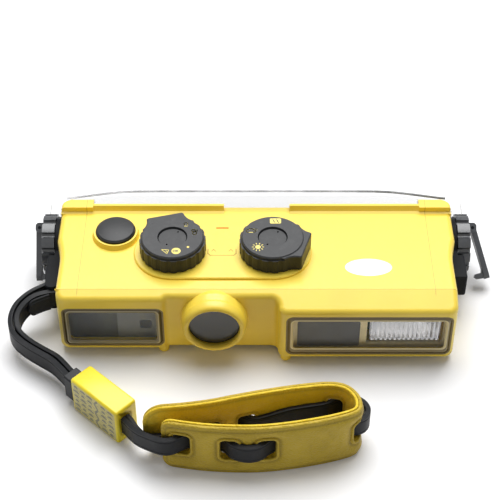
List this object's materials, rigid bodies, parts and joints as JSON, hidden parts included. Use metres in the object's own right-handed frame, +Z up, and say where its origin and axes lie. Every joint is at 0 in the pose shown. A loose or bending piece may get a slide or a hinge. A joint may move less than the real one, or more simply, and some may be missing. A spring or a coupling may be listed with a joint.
{
  "type": "waterproof film camera",
  "caption": "Flat waterproof cartridge-film camera in a moulded housing with built-in flash, clear hinged back, end latches and a wrist strap.",
  "frame": {"origin": "centre of the tripod socket mouth, in the plane of the feet", "axes": "+X to the flash end, along the length; -Y is the way the lenses look; +Z up through the dials"},
  "size_m": [0.229, 0.1453, 0.047],
  "materials": {
    "yellow_shell": "fine satin grain",
    "black_plastic": "satin, moulded",
    "charcoal_plastic": "satin, moulded",
    "clear_plastic": "clear, polished",
    "dark_glass": "polished, dark",
    "lens_glass": "polished",
    "seal_rubber": "matt",
    "strap_rubber": "satin",
    "pad_vinyl": "grained vinyl over foam",
    "tag_plastic": "smooth",
    "steel": "plain",
    "brass": "turned",
    "grey_plate": "matt",
    "gold_trim": "satin",
    "reflector": "bright",
    "diffuser": "ribbed, clear",
    "board": "matt",
    "cell_jacket": "gloss sleeve"
  },
  "bodies": {
    "housing": {"housing_shell": "yellow_shell", "viewfinder_window": "clear_plastic", "viewfinder_seal": "seal_rubber", "flash_window": "clear_plastic", "flash_seal": "seal_rubber", "lens_port_glass": "dark_glass", "lens_port_seal": "seal_rubber", "viewfinder_mask": "black_plastic", "viewfinder_objective": "lens_glass", "viewfinder_eyepiece": "lens_glass", "shutter_spring": "steel", "back_gasket": "seal_rubber", "back_hinge_pin": "steel", "inner_chassis": "black_plastic", "battery_cell": "cell_jacket", "battery_spring_contact": "steel", "battery_end_contact": "steel", "lens_bracket": "black_plastic", "shutter_box": "black_plastic", "flash_trim": "gold_trim", "front_plate": "grey_plate", "flash_reflector": "reflector", "flash_tube": "lens_glass", "flash_diffuser": "diffuser", "flash_board": "board", "flash_capacitor": "cell_jacket", "tripod_socket": "brass", "strap_band": "strap_rubber", "strap_keeper": "strap_rubber", "tag_block": "tag_plastic", "strap_lug_loop": "strap_rubber", "strap_tail": "strap_rubber", "wrist_pad": "pad_vinyl", "latch_base_left": "black_plastic", "latch_base_right": "black_plastic"},
    "focus_control": {"focus_dial": "charcoal_plastic", "focus_dial_cap": "charcoal_plastic", "focus_shaft": "black_plastic"},
    "exposure_control": {"exposure_dial": "charcoal_plastic", "exposure_dial_cap": "charcoal_plastic", "exposure_shaft": "black_plastic"},
    "lens_carriage": {"lens_barrel": "black_plastic", "taking_lens": "lens_glass"},
    "aperture": {"aperture_slider": "steel"},
    "shutter_release": {"shutter_button": "charcoal_plastic"},
    "clear_back": {"back_cover": "clear_plastic"},
    "left_latch": {"latch_knob_left": "black_plastic", "latch_shaft_left": "steel", "lever_pin_left": "steel"},
    "left_lever": {"latch_lever_left": "black_plastic"},
    "right_latch": {"latch_knob_right": "black_plastic", "latch_shaft_right": "steel", "lever_pin_right": "steel"},
    "right_lever": {"latch_lever_right": "black_plastic"},
    "film_advance": {"film_advance_lever": "black_plastic"}
  },
  "joints": [
    {"name": "focus_turn", "type": "hinge", "parent": "housing", "child": "focus_control", "pos_m": [-0.0386, -0.0059, 0.04], "axis": [0, 0, 1], "range_deg": [-70, 80]},
    {"name": "lens_slide", "type": "slide", "parent": "housing", "child": "lens_carriage", "axis": [0, -1, 0], "range_m": [-0.00065, 0.0006]},
    {"name": "exposure_turn", "type": "hinge", "parent": "housing", "child": "exposure_control", "pos_m": [0.0075, -0.0059, 0.04], "axis": [0, 0, 1], "range_deg": [-40, 40]},
    {"name": "aperture_slide", "type": "slide", "parent": "housing", "child": "aperture", "axis": [1, 0, 0], "range_m": [-0.0004, 0.0004]},
    {"name": "shutter_press", "type": "slide", "parent": "housing", "child": "shutter_release", "axis": [0, 0, -1], "range_m": [0, 0.0015], "stiffness_N_per_m": 800, "springref_m": -0.001, "deforming": ["shutter_spring"]},
    {"name": "back_hinge", "type": "hinge", "parent": "housing", "child": "clear_back", "pos_m": [0, 0.0288, 0.0026], "axis": [-1, 0, 0], "range_deg": [0, 100]},
    {"name": "left_latch_turn", "type": "hinge", "parent": "housing", "child": "left_latch", "pos_m": [-0.0955, 0.0207, 0.0185], "axis": [1, 0, 0], "range_deg": [0, 90]},
    {"name": "left_lever_fold", "type": "hinge", "parent": "left_latch", "child": "left_lever", "pos_m": [-0.1048, 0.02593, 0.02373], "axis": [0, 0.7071, -0.7071], "range_deg": [0, 90]},
    {"name": "right_latch_turn", "type": "hinge", "parent": "housing", "child": "right_latch", "pos_m": [0.0955, 0.0207, 0.0185], "axis": [1, 0, 0], "range_deg": [0, 90]},
    {"name": "right_lever_fold", "type": "hinge", "parent": "right_latch", "child": "right_lever", "pos_m": [0.1048, 0.02593, 0.02373], "axis": [0, -0.7071, 0.7071], "range_deg": [-16, 74]},
    {"name": "film_advance_stroke", "type": "hinge", "parent": "housing", "child": "film_advance", "pos_m": [-0.062, -0.006, 0.002], "axis": [0, 0, -1], "range_deg": [0, 40], "stiffness_Nm_per_rad": 0.02, "springref_deg": -5.73}
  ],
  "couplings": [
    {"joint": "lens_slide", "follows": "focus_turn", "m_per_rad": -0.00045},
    {"joint": "aperture_slide", "follows": "exposure_turn", "m_per_rad": 0.00045}
  ]
}
